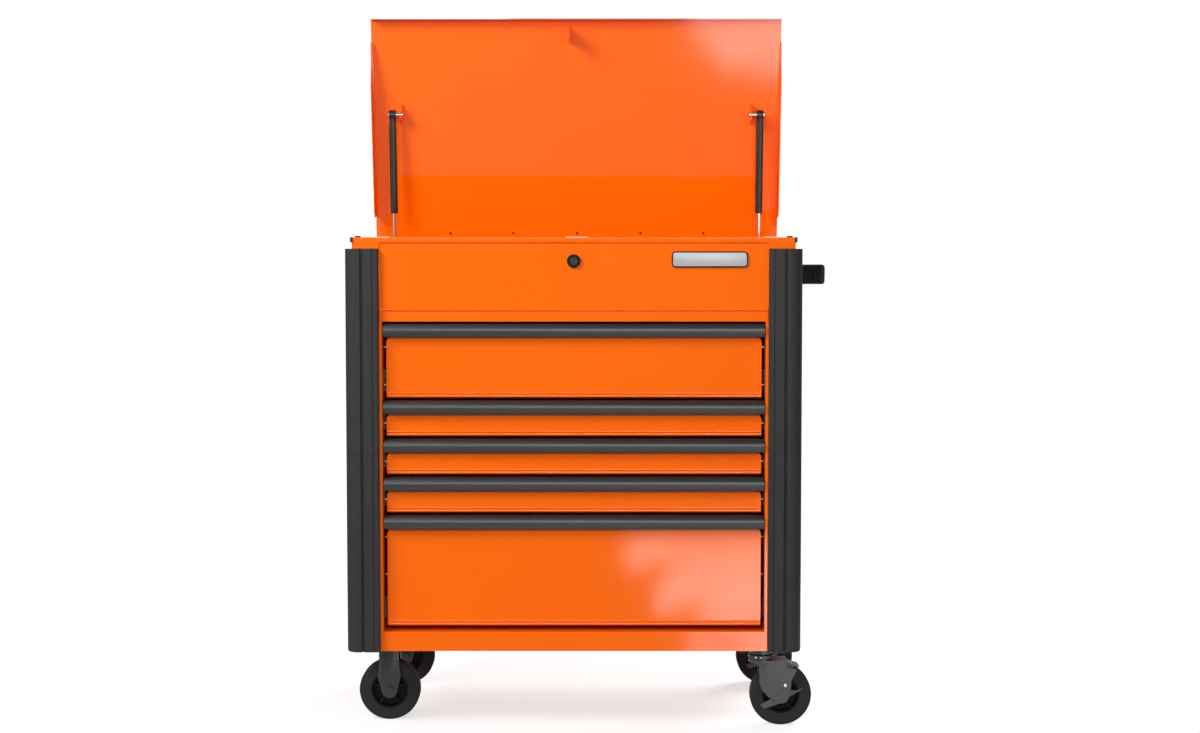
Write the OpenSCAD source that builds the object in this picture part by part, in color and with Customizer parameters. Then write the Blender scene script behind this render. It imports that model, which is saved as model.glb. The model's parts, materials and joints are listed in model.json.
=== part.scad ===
// Rolling service cart: a drawer cabinet on casters with a top well under a gas-strut lid,
// corner bumpers and a push handle.
// The lid is drawn raised, the drawers shut and the swivel casters trailing outwards.

/* [Cabinet] */
// Width across the side panels
body_w = 885; // [840:1:940]
// Depth from the stile faces to the back panel's outer face
body_d = 482; // [460:1:540]
// Thickness of the cabinet sheet
sheet_t = 1.2; // [0.8:0.1:1.6]
// Width of a stile face, from the side panel to the drawer opening
stile_w = 59; // [56:0.5:70]
// Depth of the stile's return into the drawer opening
stile_return = 50; // [46:1:60]
// How far the fascia stands over each stile beside the drawer opening
fascia_lap = 5; // [3:0.5:8]
// Seam between the fascia and the stiles
seam_gap = 0.7; // [0.2:0.1:1]
// Height of the bottom rail
bottom_rail_h = 39; // [30:1:50]
// Depth of the return behind the top rail
rail_return = 20; // [10:1:30]
// Depth of the ledge behind the bottom rail
ledge_d = 80; // [60:1:120]
// Height of the rail strip under the fascia's fold
top_rail_h = 24.5; // [18:0.5:34]
// How far the fascia is set back behind the stile faces
fascia_set = 0.8; // [0.3:0.1:1.4]
// How far the rail strip is set back at the fold
fold_step = 0.8; // [0.3:0.1:1]
// Depth of the top well, from the rim to its floor
well_depth = 143.5; // [120:0.5:180]
// Height of the rim's hem
rim_h = 10; // [8:0.5:14]
// How far the hem stands out of the panels
rim_out = 2; // [1:0.5:3]
// How far the hem reaches inwards from the panels' outer faces
rim_in = 3; // [2:0.5:4]
// Radius of the hem's upper edges
rim_round = 1.8; // [0.5:0.1:2]

/* [Drawers] */
// Height of the top drawer's front
top_drawer_h = 151; // [120:1:180]
// Height of each of the three shallow drawers' fronts
shallow_drawer_h = 73.5; // [70:0.1:90]
// Height of the bottom drawer's front
bottom_drawer_h = 226; // [180:1:260]
// Gap above each drawer front
drawer_gap = 3.7; // [1.5:0.1:5]
// Gap under the bottom drawer's front
bottom_gap = 9.5; // [8:0.1:20]
// Gap between a drawer front and the opening's sides
front_side_gap = 7; // [5:0.5:8]
// How far the drawer fronts stand behind the stile faces
front_recess = 12; // [4:0.5:16]
// Thickness of the drawer sheet
drawer_t = 1; // [0.8:0.1:1.4]
// Radius of the roll at a drawer front's lower edge
front_roll = 8; // [5:0.5:10]
// Radius of the groove above that roll
front_groove_r = 0.5; // [0.3:0.1:0.7]
// Radius of the drawer fronts' upper corners, under the pulls
front_corner = 12; // [8:0.5:16]
// Depth of the drawer fronts' folded edges
front_return = 16; // [12:1:18]
// Height of the tray's floor above the front's lower edge
tray_lift = 10; // [10:0.5:14]
// Drop of the tray's walls under the front's upper edge
tray_drop = 14; // [10:0.5:20]

/* [Drawer slides] */
// Room for a slide between tray and stile return
slide_w = 13; // [12.5:0.1:16]
// Height of the outer member
slide_h = 44; // [38:1:46]
// Gap between the slides' rear ends and the back panel's outer face
slide_rear_gap = 18; // [8:1:33]
// Distance of the slides behind the drawer fronts
slide_setback = 24; // [20:1:28]
// Thickness of the members' sheet
slide_t = 1.2; // [1:0.1:1.5]
// Running gap between the members' flanges
slide_gap = 0.4; // [0.3:0.1:0.6]

/* [Pulls] */
// Height of a pull
pull_h = 29; // [26:0.5:32]
// How far a pull stands in front of the drawer
pull_out = 18; // [16:0.5:20]
// Radius of the pull's round face
pull_round = 16; // [15:0.5:18]
// Thickness of the pull's shell
pull_wall = 2.4; // [1.6:0.1:3]
// Height of the shell's lower edge above the hollow's lowest level
pull_edge = 2.1; // [1.5:0.1:4]
// Radius of the bead along that edge
pull_bead_r = 1.6; // [1.2:0.1:1.8]
// Height of the pull's back plate
pull_back_h = 14; // [10:0.5:16]
// Thickness of the pull's back plate
pull_back_t = 2.2; // [1.6:0.1:3]
// Gap between a pull and the opening's sides
pull_side_gap = 2; // [1:0.1:3]

/* [Lid] */
// Angle of the raised lid from its closed place
lid_open = 79.7; // [60:0.1:88]
// Gap between the lid's flanges and the rim
lid_gap = 4.3; // [3.5:0.1:6]
// Thickness of the lid sheet
lid_t = 1.2; // [1:0.1:1.6]
// Depth of the side flanges
lid_side_flange = 36; // [32:0.5:38]
// Depth of the side flanges where they start behind the front bumpers
lid_side_flange_end = 12; // [8:0.5:16]
// Length of the side flange's taper
lid_taper = 96; // [70:1:130]
// Distance of the side flanges from the lid's front edge
lid_flange_front = 51; // [46:1:60]
// Gap between the closed lid's side flanges and the rear bumpers
lid_flange_gap = 1; // [0.5:0.5:8]
// Depth of the front flange
lid_front_flange = 22; // [14:0.5:24]
// Height of the rubber pads that the lid closes on
pad_h = 2.7; // [2:0.1:4]
// Length of a rubber pad
pad_len = 11; // [8:0.5:16]

/* [Lid hinges] */
// Distance of the hinge axis in front of the back panel's outer face
hinge_inset = 2; // [1:0.5:3]
// Height of the hinge axis above the lid's inner face
hinge_rise = 2; // [1:0.1:2.4]
// Length of each hinge
hinge_len = 396; // [340:1:410]
// Distance between the two hinges
hinge_split = 50; // [20:1:60]
// Outer radius of the knuckles
knuckle_r = 4; // [3.6:0.1:4.4]
// Number of knuckles on each hinge
knuckle_count = 13; // [9:2:17]
// Gap between neighbouring knuckles
knuckle_gap = 0.6; // [0.4:0.1:1]
// Radius of the hinge pin
hinge_pin_r = 2; // [1.5:0.1:2.4]
// Thickness of the hinge leaves
leaf_t = 1.2; // [1:0.1:1.5]
// Gap between the cabinet leaves and the top of the rear bumpers
leaf_gap = 2; // [1:0.5:8]
// Width of the leaf on the lid
lid_leaf_w = 22; // [16:1:30]
// Radius of the leaf rivets' heads
leaf_rivet_r = 3; // [2:0.1:4]

/* [Gas struts] */
// Distance of the strut planes from the cabinet's middle
strut_x = 405; // [395:1:412]
// Distance of the lid studs from the hinge axis, along the lid
lid_stud_reach = 280; // [260:1:300]
// Distance of the lid studs under the lid's inner face
lid_stud_drop = 22; // [20:0.5:26]
// Distance of the cabinet studs in front of the hinge axis
cabinet_stud_reach = 32; // [26:1:40]
// Distance of the cabinet studs under the hinge axis
cabinet_stud_drop = 68; // [60:1:80]
// Radius of the strut's tube
strut_tube_r = 8; // [7:0.5:9]
// Wall of the strut's tube
strut_wall = 1.2; // [1:0.1:1.6]
// Length from the lid stud to the tube's lower end
strut_tube_len = 217; // [205:1:222]
// Length of the rod guide in the tube's lower end
strut_guide_len = 15; // [10:1:20]
// Radius of the strut's rod
strut_rod_r = 4; // [3:0.5:5]
// Length of the piston
strut_piston_len = 12; // [8:1:16]
// Radius of the end fittings
strut_end_r = 10; // [9:0.5:11]
// Width of the end fittings
strut_end_w = 14; // [12:0.5:16]
// Length of an end fitting from its stud
strut_end_len = 26; // [22:1:30]
// Radius of the studs
stud_r = 4; // [3:0.5:5]
// Thickness of the strut brackets
bracket_t = 1.5; // [1.2:0.1:2.5]
// Length of the lid brackets along the lid
lid_bracket_len = 46; // [36:1:60]
// Size of the square cabinet brackets
cabinet_bracket = 40; // [30:1:44]

/* [Lock] */
// Height of the lock under the rim
lock_drop = 47.2; // [44:0.2:56]
// Radius of the collar
lock_collar_r = 13.5; // [12:0.5:15]
// How far the collar stands in front of the fascia
lock_collar_t = 4; // [3:0.5:6]
// Radius of the threaded barrel
lock_barrel_r = 9.5; // [9:0.1:10]
// Length of the barrel behind the fascia's front face
lock_barrel_len = 18; // [14:0.5:18.5]
// Radius of the turning plug
lock_plug_r = 7.4; // [6:0.1:7.4]
// Thickness of the nut
lock_nut_t = 5; // [4:0.5:7]
// Length of the cam
lock_cam_len = 27; // [24:0.5:32]
// Half width of the cam
lock_cam_r = 6.5; // [5:0.1:7]
// Thickness of the cam
lock_cam_t = 2.5; // [2:0.1:3]
// Clearance around the cam in the striker's slot
striker_gap = 1.5; // [1:0.1:2]
// Thickness of the striker's plate
striker_t = 1.5; // [1.2:0.1:2]
// Length of the striker along the lid
striker_len = 35; // [32:0.5:40]
// Width of the striker's foot on the lid
striker_foot_w = 10; // [8:0.5:14]

/* [Bumpers] */
// Thickness of the corner bumpers
bumper_t = 15; // [12:0.5:16]
// Length of each leg of the bumper's section
bumper_leg = 68; // [58:0.5:70]
// Radius of the bumper's outer corner
bumper_round = 27; // [8:0.5:28]
// Distance of the bumper's top under the rim
bumper_drop = 23; // [22.5:0.5:30]
// Height of the lower bumper length
bumper_lower_h = 400; // [340:1:450]
// Seam between the two lengths
bumper_seam = 0.5; // [0.3:0.1:1]
// Chamfer at the bumper's lower end
bumper_chamfer = 4; // [3:0.5:10]
// Distance of the groove along each leg's face from the bumper's outer corner
bumper_groove_at = 34.5; // [31:0.5:36]
// Half width of that groove
bumper_groove_r = 3; // [1.5:0.1:3.5]
// Depth of that groove
bumper_groove_d = 4.5; // [3.5:0.5:7]
// Width of the strip that slopes to each leg's inner edge
bumper_slope_w = 11.5; // [9:0.5:14]
// Radius of the fine line where the face starts to slope
bumper_line_r = 1.7; // [0.5:0.1:2.5]
// How far each leg's face slopes back at its inner edge
bumper_slope = 3; // [1:0.1:4]

/* [Push handle] */
// How far the handle stands out of the side panel
handle_out = 69; // [58:0.5:76]
// Height of the handle's section
handle_h = 40; // [34:0.5:46]
// Thickness of the grip bar
handle_bar_t = 24; // [20:0.5:28]
// Length of each leg along the side panel
handle_leg = 34; // [28:0.5:40]
// Distance of the handle's front end behind the stile faces
handle_front = 78; // [70:1:110]
// Distance of the handle's rear end in front of the back panel
handle_rear = 74; // [70:1:110]
// Distance of the handle's middle under the rim
handle_drop = 74; // [66:1:120]
// Radius of the handle's long edges
handle_round = 8; // [4:0.5:10]
// Radius of the handle's outer corners, seen from above
handle_corner = 12; // [6:0.5:16]
// Depth of the pocket in each leg's end face
handle_pocket = 10; // [6:0.5:14]

/* [Casters] */
// Wheel diameter
wheel_d = 125; // [118:1:127]
// Wheel width
wheel_w = 32; // [28:0.5:34]
// Height from the floor to the base pan
caster_h = 160.5; // [146:0.5:180]
// Distance of the caster plates' middle from the cabinet's middle
caster_x = 382; // [360:1:385]
// Distance of the front rigid caster behind the stile faces
rigid_front_y = 100; // [60:1:120]
// Distance of the front swivel caster behind the stile faces
swivel_front_y = 54; // [52:1:90]
// Distance of the rear casters in front of the back panel
rear_caster_inset = 52; // [50:1:90]
// Trail of the swivel casters
swivel_trail = 39; // [30:0.5:44]
// Radius of the axle bolts
axle_r = 5; // [4:0.5:6]
// Inner radius of the tyre
tyre_inner_r = 38; // [34:0.5:44]
// Radius of the tyre's shoulders
tyre_round = 6; // [3:0.5:8]
// Radius of the wheel hub
hub_r = 15; // [12:0.5:17]
// Number of spokes
spoke_count = 5; // [4:1:7]
// Thickness of the fork legs
fork_t = 3; // [2.5:0.1:4]
// How far the pressed ribs stand out of the rigid forks' legs
rib_out = 6; // [3:0.5:8]
// How far the pressed panels stand out of the swivel forks' legs
panel_out = 3; // [2:0.5:4]
// Gap between the wheel hub and the brake plate
brake_gap = 0.5; // [0.4:0.1:1]
// Thickness of the brake plate
brake_t = 1.8; // [1.5:0.1:2.2]
// Thickness of the caster plates
caster_plate_t = 4; // [3:0.5:5]
// Length of the caster plates across the cart
caster_plate_x = 100; // [94:1:106]
// Width of the caster plates from front to back
caster_plate_y = 78; // [74:1:86]
// Radius of the swivel head
swivel_head_r = 26; // [22:0.5:38]
// Radius of the swivel's king pin
king_pin_r = 6; // [5:0.5:8]
// Gap between the swivel head and the fixed plate
swivel_gap = 0.4; // [0.3:0.1:0.6]
// Radius of the caster bolts
caster_bolt_r = 4; // [3:0.5:5]
// Radius of the handle screws
handle_screw_r = 3; // [2:0.5:4]

/* [Hidden] */
$fn = 64;
eps = 0.01;
running_fit = 0.05;
hole_fit = 0.2;

half_w = body_w / 2;
opening_half = half_w - stile_w;
drawer_heights = [top_drawer_h, shallow_drawer_h, shallow_drawer_h, shallow_drawer_h, bottom_drawer_h];
drawer_count = len(drawer_heights);
function stacked(n) = n <= 0 ? 0 : stacked(n - 1) + drawer_heights[n - 1] + drawer_gap;
opening_low = caster_h + bottom_rail_h;
opening_high = opening_low + bottom_gap + stacked(drawer_count);
well_floor_z = opening_high + top_rail_h;
rim_z = well_floor_z + well_depth;
function front_high(n) = opening_high - stacked(n - 1) - drawer_gap;
function front_low(n) = front_high(n) - drawer_heights[n - 1];

strip_y = fascia_set + fold_step;

// The frame's origin lies under the middle of the whole object's box
mid_x = (handle_out - bumper_t) / 2;
mid_y = body_d / 2;

// Lid and hinge
hinge_y = body_d - hinge_inset;
pad_clear = 0.3;
lid_seat_z = rim_z + pad_h + pad_clear;
hinge_z = lid_seat_z + hinge_rise;
lid_half = half_w + rim_out + lid_gap + lid_t;
lid_reach = hinge_y + rim_out + lid_gap + lid_t;
lid_start = knuckle_r + 0.25;
lid_flange_rear = hinge_y - body_d - bumper_t + bumper_leg + lid_flange_gap;
lid_low = -hinge_rise;

// Gas struts, in the plane of the side panels: lid stud raised, lid stud closed, cabinet stud
lid_stud_z = lid_low - lid_stud_drop;
function raised(p) = [
    p[0] * cos(lid_open) + p[1] * sin(lid_open) + hinge_y,
    p[1] * cos(lid_open) - p[0] * sin(lid_open) + hinge_z
];
stud_up = raised([-lid_stud_reach, lid_stud_z]);
stud_low = [hinge_y - cabinet_stud_reach, hinge_z - cabinet_stud_drop];
strut_dir = stud_low - stud_up;
strut_len = norm(strut_dir);
strut_turn = atan2(-strut_dir[0], strut_dir[1]);
strut_bore_r = strut_tube_r - strut_wall;
stud_clear = 0.4;

// Lock
lock_z = rim_z - lock_drop;
lock_cam_y = lock_barrel_len + 2;
lock_nut_r = lock_barrel_r + 3;
striker_x = lock_nut_r + 1;
striker_low = lock_z - lock_cam_r - striker_gap - 8;
striker_front = lock_cam_y - striker_gap - 8;

// Bumpers
bumper_top = rim_z - bumper_drop;
cabinet_leaf_h = hinge_z - bumper_top - leaf_gap;
bumper_slope_at = bumper_leg - bumper_slope_w;
stile_head_gap = 0.5;

// Push handle
handle_z = rim_z - handle_drop;
handle_len = body_d - handle_front - handle_rear;
handle_gap = handle_out - handle_bar_t;

// Casters
wheel_r = wheel_d / 2;
caster_rear_y = body_d - rear_caster_inset;
hub_half = wheel_w / 2 + 0.5;
brake_near = hub_half + brake_gap;
fork_near = brake_near + brake_t + brake_gap;
fork_far = fork_near + fork_t;
plate_low = caster_h - caster_plate_t;
crown_low = wheel_d + 4.5;
crown_t = 4.5;
head_share = 0.38;
head_high = crown_low + crown_t + head_share * (plate_low - crown_low - crown_t);
rigid_shoulder_drop = 24;
axle_head_r = 1.7 * axle_r;
axle_head_t = 5;
bolt_x = caster_plate_x / 2 - 11;
bolt_y = caster_plate_y / 2 - 10;
bolt_head_t = 5.3;
rigid_places = [[-caster_x, rigid_front_y], [-caster_x, caster_rear_y]];
swivel_places = [[caster_x, swivel_front_y], [caster_x, caster_rear_y]];
brake_pivot = [8, 22];
brake_pin_r = 3;

// Slides: the outer member holds the middle one, which holds the runner
slide_near = front_recess + slide_setback;
slide_far = body_d - slide_rear_gap;
slide_mid_h = slide_h - 2 * (slide_t + slide_gap);
runner_h = slide_mid_h - 2 * (slide_t + slide_gap);
slide_outer_x = opening_half;
tray_half = opening_half - slide_w;
slide_mid_x = slide_outer_x - slide_t - slide_gap;
runner_reach = slide_mid_x - slide_t - slide_gap;
slide_lip = 2.5;
tray_back_gap = 6;
function slide_z(n) = front_low(n) + tray_lift + slide_h / 2 + 3;

orange = "darkorange";
black = "#2c2d2e";
steel = "silver";
zinc = "lightgray";

// Placing helpers

module at_origin() {
    translate([-mid_x, -mid_y, 0]) children();
}

// A box given by its low and high corners
module block(low, high) {
    translate(low) cube(high - low);
}

// A pair, one on each side of the cart's middle plane
module both_sides() {
    children();
    mirror([1, 0, 0]) children();
}

// A profile drawn as (forward, up), run along the cart's width
module along_x(length) {
    rotate([90, 0, -90]) linear_extrude(length, center = true) children();
}

// A profile drawn as (right, up), run from y = near to y = far
module along_y(near, far) {
    translate([0, far, 0]) rotate([90, 0, 0]) linear_extrude(far - near) children();
}

// A round bar along X or Y between two places
module bar_x(r, from, to) {
    translate([from, 0, 0]) rotate([0, 90, 0]) cylinder(r = r, h = to - from);
}

module bar_y(r, from, to) {
    translate([0, from, 0]) rotate([-90, 0, 0]) cylinder(r = r, h = to - from);
}

// The lid's own frame: the hinge axis, with the lid turned up from its closed place
module on_lid() {
    translate([0, hinge_y, hinge_z]) rotate([-lid_open, 0, 0]) children();
}

// The strut's own frame: from the lid stud towards the cabinet stud along +Z
module on_strut(side) {
    translate([side * strut_x, stud_up[0], stud_up[1]]) rotate([strut_turn, 0, 0]) children();
}

// Cabinet shell

// The rim hem's section, drawn as (outwards, up) from a panel's outer face
module hem_section() {
    r = rim_round;
    translate([-rim_in, 0]) square([rim_in + rim_out, rim_h - r]);
    translate([r - rim_in, 0]) square([rim_in + rim_out - 2 * r, rim_h]);
    for (x = [r - rim_in, rim_out - r]) translate([x, rim_h - r]) circle(r);
}

// The right-hand side panel: side, rim hem, front stile and the stile's return
module side_sheet() {
    block([half_w - sheet_t, 0, caster_h], [half_w, body_d - sheet_t, rim_z - rim_h]);
    along_y(rim_in + seam_gap, body_d - rim_in - seam_gap)
        translate([half_w, rim_z - rim_h]) hem_section();
    block([opening_half, 0, caster_h], [half_w, sheet_t, opening_high]);
    block([opening_half + fascia_lap + seam_gap, 0, opening_high - eps],
        [half_w, sheet_t, rim_z - rim_h]);
    block([opening_half + fascia_lap + seam_gap, -rim_out, bumper_top + stile_head_gap],
        [half_w, sheet_t, rim_z - rim_h]);
    block([opening_half, 0, caster_h + sheet_t], [opening_half + sheet_t, stile_return, opening_high]);
}

module left_side_panel() {
    color(orange) at_origin() mirror([1, 0, 0]) side_sheet();
}

module right_side_panel() {
    color(orange) at_origin() difference() {
        side_sheet();
        handle_screw_places() bar_x(handle_screw_r + hole_fit, half_w - 2 * sheet_t, half_w + sheet_t);
    }
}

// Back panel with its hem and the two flanges that carry the slides' rear ends
module back_panel() {
    color(orange) at_origin() {
        block([-half_w, body_d - sheet_t, caster_h], [half_w, body_d, rim_z - rim_h]);
        block([-half_w - rim_out, body_d - rim_in, rim_z - rim_h],
            [half_w + rim_out, hinge_y + knuckle_r - leaf_t, rim_z]);
        both_sides() block([slide_outer_x, body_d - stile_return, opening_low],
            [slide_outer_x + sheet_t, body_d - sheet_t + eps, opening_high]);
    }
}

// Base pan with the bottom rail folded up at its front
module base_pan() {
    color(orange) at_origin() difference() {
        union() {
            block([-half_w + sheet_t, sheet_t, caster_h],
                [half_w - sheet_t, body_d - sheet_t, caster_h + sheet_t]);
            block([-opening_half, 0, caster_h], [opening_half, sheet_t, opening_low]);
            block([-opening_half, 0, opening_low - sheet_t], [opening_half, ledge_d, opening_low]);
        }
        caster_bolt_places() cylinder(r = caster_bolt_r + hole_fit, h = 3 * sheet_t, center = true);
    }
}

// Fascia over the well, its hem along the rim's front, and the rail strip over the drawers
module front_fascia() {
    color(orange) at_origin() difference() {
        union() {
            block([-opening_half - fascia_lap, fascia_set, well_floor_z],
                [opening_half + fascia_lap, fascia_set + sheet_t, rim_z - rim_h]);
            translate([0, 0, rim_z - rim_h]) along_x(2 * (half_w + rim_out)) hem_section();
            block([-opening_half - fascia_lap, strip_y, opening_high + eps],
                [opening_half + fascia_lap, strip_y + sheet_t, well_floor_z + sheet_t]);
            block([-opening_half, strip_y, opening_high + eps],
                [opening_half, rail_return, opening_high + sheet_t]);
        }
        translate([0, 0, lock_z]) bar_y(lock_barrel_r + hole_fit, -sheet_t, 4 * sheet_t);
    }
}

module well_floor() {
    color(orange) at_origin() block([-half_w + sheet_t, strip_y + sheet_t, well_floor_z - sheet_t],
        [half_w - sheet_t, body_d - sheet_t, well_floor_z]);
}

// Corner bumpers: an L section with a groove along each leg and a face that slopes to its inner edge

module bumper_face_cuts() {
    r = bumper_groove_r;
    translate([bumper_groove_at - r, -1]) square([2 * r, 1 + bumper_groove_d - r]);
    translate([bumper_groove_at, bumper_groove_d - r]) circle(r);
    translate([bumper_slope_at, 0]) circle(bumper_line_r);
    polygon([[bumper_slope_at, 0], [bumper_leg + 1, bumper_slope],
        [bumper_leg + 1, -1], [bumper_slope_at, -1]]);
    translate([bumper_leg, bumper_slope]) rotate(45) square(4, center = true);
}

module bumper_section() {
    difference() {
        union() {
            translate([bumper_round, 0]) square([bumper_leg - bumper_round, bumper_t]);
            translate([0, bumper_round]) square([bumper_t, bumper_leg - bumper_round]);
            intersection() {
                translate([bumper_round, bumper_round]) circle(bumper_round);
                square(bumper_round + eps);
            }
        }
        translate([bumper_t, bumper_t]) square(bumper_leg);
        bumper_face_cuts();
        mirror([1, -1]) bumper_face_cuts();
    }
}

// One corner's two stacked lengths, drawn from its outer corner inwards
module bumper_corner() {
    seam_z = caster_h + bumper_lower_h;
    difference() {
        translate([0, 0, caster_h]) linear_extrude(bumper_lower_h) bumper_section();
        translate([0, bumper_leg / 2, caster_h]) rotate([0, 45, 0])
            cube([bumper_chamfer * sqrt(2), 2 * bumper_leg, bumper_chamfer * sqrt(2)], center = true);
    }
    translate([0, 0, seam_z + bumper_seam])
        linear_extrude(bumper_top - seam_z - bumper_seam) bumper_section();
}

module front_bumpers() {
    color(black) at_origin() both_sides()
        translate([-half_w - bumper_t, -bumper_t, 0]) bumper_corner();
}

module rear_bumpers() {
    color(black) at_origin() both_sides()
        translate([-half_w - bumper_t, body_d + bumper_t, 0]) mirror([0, 1, 0]) bumper_corner();
}

// Push handle on the right-hand side: a grip bar on two legs, moulded in one piece

module handle_section(inner) {
    r = handle_round;
    out = half_w + handle_out;
    translate([inner, handle_z - handle_h / 2]) square([out - r - inner, handle_h]);
    translate([inner, handle_z - handle_h / 2 + r]) square([out - inner, handle_h - 2 * r]);
    for (side = [-1, 1]) translate([out - r, handle_z + side * (handle_h / 2 - r)]) circle(r);
}

// The handle's outline from above, with its two outer corners rounded
module handle_plan() {
    r = handle_corner;
    translate([half_w, handle_front]) {
        square([handle_out - r, handle_len]);
        translate([0, r]) square([handle_out, handle_len - 2 * r]);
        for (y = [r, handle_len - r]) translate([handle_out - r, y]) circle(r);
    }
}

module handle_screw_places() {
    for (y = [handle_front + handle_leg / 2, handle_front + handle_len - handle_leg / 2], side = [-1, 1])
        translate([0, y, handle_z + side * handle_h / 4]) children();
}

module handle_pocket_cut() {
    inset = 8;
    block([half_w + 2 * inset, -handle_pocket, handle_z - handle_h / 2 + inset],
        [half_w + handle_gap, handle_pocket, handle_z + handle_h / 2 - inset]);
}

module push_handle() {
    far = handle_front + handle_len;
    color(black) at_origin() difference() {
        intersection() {
            union() {
                along_y(handle_front, handle_front + handle_leg) handle_section(half_w);
                along_y(far - handle_leg, far) handle_section(half_w);
                along_y(handle_front, far) handle_section(half_w + handle_gap);
            }
            translate([0, 0, handle_z - handle_h]) linear_extrude(2 * handle_h) handle_plan();
        }
        translate([0, handle_front, 0]) handle_pocket_cut();
        translate([0, far, 0]) handle_pocket_cut();
        handle_screw_places() bar_x(handle_screw_r + hole_fit, half_w - 1, half_w + 2 * handle_round - 3);
    }
}

// Lock: fixed housing with its nut, and the turning plug with its cam

module lock_housing() {
    color(black) at_origin() translate([0, 0, lock_z]) difference() {
        union() {
            bar_y(lock_collar_r, -lock_collar_t, fascia_set);
            bar_y(lock_barrel_r, -eps, lock_barrel_len);
            translate([0, fascia_set + sheet_t, 0]) rotate([-90, 0, 0])
                cylinder(r = lock_nut_r, h = lock_nut_t, $fn = 6);
        }
        bar_y(lock_plug_r + running_fit, -lock_collar_t - 1, lock_barrel_len + 1);
    }
}

module lock_plug() {
    slot_w = 1.6;
    slot_h = 0.6 * lock_plug_r;
    color(steel) at_origin() translate([0, 0, lock_z]) {
        difference() {
            bar_y(lock_plug_r, -lock_collar_t - 0.5, lock_cam_y);
            block([-slot_w / 2, -lock_collar_t - 1, -slot_h], [slot_w / 2, 0, slot_h]);
        }
        bar_y(lock_cam_r, lock_cam_y, lock_cam_y + lock_cam_t);
        block([-lock_cam_r, lock_cam_y, -lock_cam_len], [lock_cam_r, lock_cam_y + lock_cam_t, 0]);
    }
}

module lid_pads() {
    pad_x = half_w - 12;
    color(black) at_origin() both_sides()
        block([pad_x - pad_len / 2, -rim_out + 0.5, rim_z],
            [pad_x + pad_len / 2, rim_in - 0.5, rim_z + pad_h]);
}

// Lid hinges: two long hinges with alternating knuckles

knuckle_pitch = hinge_len / knuckle_count;
hinge_inner = hinge_split / 2;
leaf_rivet_shares = [0.298, 0.654, 0.975];

// Every second knuckle of a hinge, drawn along X from its inner end
module knuckles(first) {
    for (i = [first:2:knuckle_count - 1])
        bar_x(knuckle_r, hinge_inner + i * knuckle_pitch + knuckle_gap / 2,
            hinge_inner + (i + 1) * knuckle_pitch - knuckle_gap / 2);
}

module hinge_bore() {
    bar_x(hinge_pin_r + running_fit, hinge_inner - 1, hinge_inner + hinge_len + 1);
}

module hinge_cabinet_leaves() {
    web_y = knuckle_r - leaf_t;
    color(orange) at_origin() both_sides() translate([0, hinge_y, hinge_z]) difference() {
        union() {
            knuckles(0);
            block([hinge_inner, web_y, -cabinet_leaf_h],
                [hinge_inner + hinge_len, knuckle_r, -knuckle_r - knuckle_gap]);
            for (i = [0:2:knuckle_count - 1])
                block([hinge_inner + i * knuckle_pitch + knuckle_gap / 2, web_y, -knuckle_r - 1],
                    [hinge_inner + (i + 1) * knuckle_pitch - knuckle_gap / 2, knuckle_r, 0]);
        }
        hinge_bore();
    }
}

module hinge_lid_leaves() {
    low = lid_low - leaf_t;
    color(orange) at_origin() on_lid() both_sides() difference() {
        union() {
            knuckles(1);
            block([hinge_inner, -lid_leaf_w, low], [hinge_inner + hinge_len, -lid_start, lid_low]);
            for (i = [1:2:knuckle_count - 1])
                block([hinge_inner + i * knuckle_pitch + knuckle_gap / 2, -lid_start - 1, low],
                    [hinge_inner + (i + 1) * knuckle_pitch - knuckle_gap / 2, 0, lid_low]);
            for (share = leaf_rivet_shares)
                translate([hinge_inner + share * hinge_len, -(lid_leaf_w + lid_start) / 2, low - 1])
                    cylinder(r = leaf_rivet_r, h = 1 + eps);
        }
        hinge_bore();
    }
}

// The pin is held in the cabinet leaf's knuckles by the same running fit that the lid turns on
module hinge_pins() {
    color(steel) at_origin() both_sides() translate([0, hinge_y, hinge_z])
        bar_x(hinge_pin_r, hinge_inner, hinge_inner + hinge_len);
}

// Lid: top sheet, front flange and tapered side flanges

module lid_side_profile() {
    front = lid_reach - lid_flange_front;
    polygon([
        [front, lid_low + eps],
        [front, lid_low - lid_side_flange_end],
        [front - lid_taper, lid_low - lid_side_flange],
        [lid_flange_rear + 14, lid_low - lid_side_flange],
        [lid_flange_rear, lid_low - lid_side_flange + 8],
        [lid_flange_rear, lid_low + eps]
    ]);
}

module lid() {
    color(orange) at_origin() on_lid() {
        block([-lid_half, -lid_reach, lid_low], [lid_half, -lid_start, lid_low + lid_t]);
        block([-lid_half, -lid_reach, lid_low - lid_front_flange],
            [lid_half, -lid_reach + lid_t, lid_low + eps]);
        both_sides() translate([lid_half - lid_t / 2, 0, 0]) along_x(lid_t) lid_side_profile();
    }
}

// Brackets under the lid: one for each strut, and the lock's striker

lid_bracket_x = strut_x - strut_end_w / 2 - 12;

module strut_lid_bracket() {
    low = lid_low - lid_stud_drop - stud_r - 6;
    near = lid_stud_reach - lid_bracket_len / 2;
    far = lid_stud_reach + lid_bracket_len / 2;
    block([lid_bracket_x - bracket_t - 16, -far, lid_low - bracket_t], [lid_bracket_x, -near, lid_low]);
    translate([lid_bracket_x - bracket_t / 2, 0, 0]) along_x(bracket_t) difference() {
        polygon([[near, lid_low], [far, lid_low], [lid_stud_reach + stud_r + 6, low],
            [lid_stud_reach - stud_r - 6, low]]);
        translate([lid_stud_reach, lid_stud_z]) circle(stud_r + running_fit);
    }
}

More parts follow.
